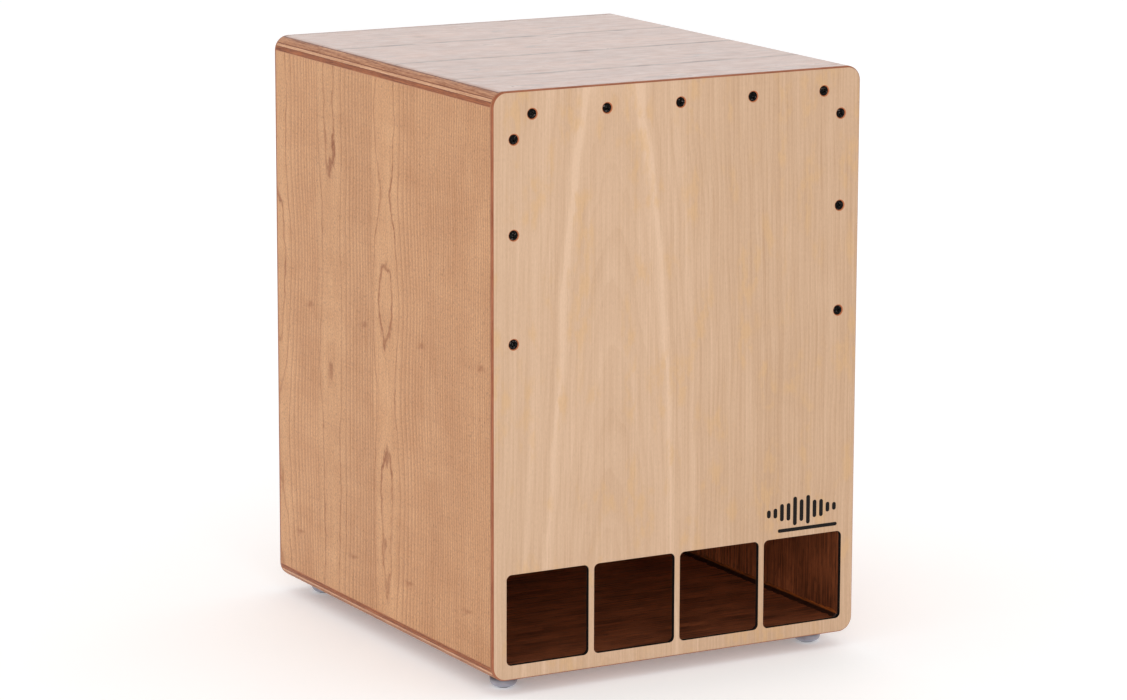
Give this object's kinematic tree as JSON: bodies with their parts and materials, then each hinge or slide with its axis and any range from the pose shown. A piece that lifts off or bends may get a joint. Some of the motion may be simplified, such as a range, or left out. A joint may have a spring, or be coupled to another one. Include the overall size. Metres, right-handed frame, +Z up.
{
  "type": "cajon",
  "caption": "Upright plywood box drum with a thin screwed striking plate, a row of rounded bass ports along its foot, and small round feet; it is sat on and played by hand.",
  "frame": {"origin": "on the floor, under the middle of the box, in the plane of the foot pads' undersides", "axes": "+Z up, the tapa and the ports face -Y, +X to the right when looking at the tapa"},
  "size_m": [0.344, 0.398, 0.493],
  "materials": {
    "tapa_veneer": "pale close-grained veneer under clear satin lacquer, with reddish-brown plies at its rounded edge",
    "seat_veneer": "reddish-brown veneer in matched leaves, grain across the seat, satin lacquer",
    "shell_veneer": "orange-tan veneer in matched leaves, upright grain, satin lacquer, bare ply edges",
    "dark_inner_wood": "dark walnut stain, matt",
    "batten_wood": "planed softwood, unfinished",
    "black_screw": "black oxide, slightly oiled",
    "foot_metal": "bright nickel plate",
    "foot_rubber": "matt black",
    "plain_steel": "plain zinc-plated steel"
  },
  "bodies": {
    "root": {"back_left_foot_cup": "foot_metal", "back_left_foot_pad": "foot_rubber", "back_right_foot_cup": "foot_metal", "back_right_foot_pad": "foot_rubber", "floor_panel": "shell_veneer", "foot_screws": "plain_steel", "front_left_foot_cup": "foot_metal", "front_left_foot_pad": "foot_rubber", "front_right_foot_cup": "foot_metal", "front_right_foot_pad": "foot_rubber", "left_front_batten": "batten_wood", "left_seam_strip": "dark_inner_wood", "left_seat_batten": "batten_wood", "left_shelf_cleat": "dark_inner_wood", "left_side_panel": "shell_veneer", "left_snare_clip": "plain_steel", "left_snare_wires": "plain_steel", "port_shelf": "dark_inner_wood", "rear_floor_batten": "batten_wood", "rear_left_batten": "batten_wood", "rear_panel": "shell_veneer", "rear_right_batten": "batten_wood", "rear_top_batten": "batten_wood", "right_front_batten": "batten_wood", "right_seam_strip": "dark_inner_wood", "right_seat_batten": "batten_wood", "right_shelf_cleat": "dark_inner_wood", "right_side_panel": "shell_veneer", "right_snare_clip": "plain_steel", "right_snare_wires": "plain_steel", "seat_panel": "seat_veneer", "snare_bar": "batten_wood", "snare_screws": "plain_steel", "tapa": "tapa_veneer", "tapa_screws": "black_screw", "top_front_batten": "batten_wood"}
  },
  "joints": []
}
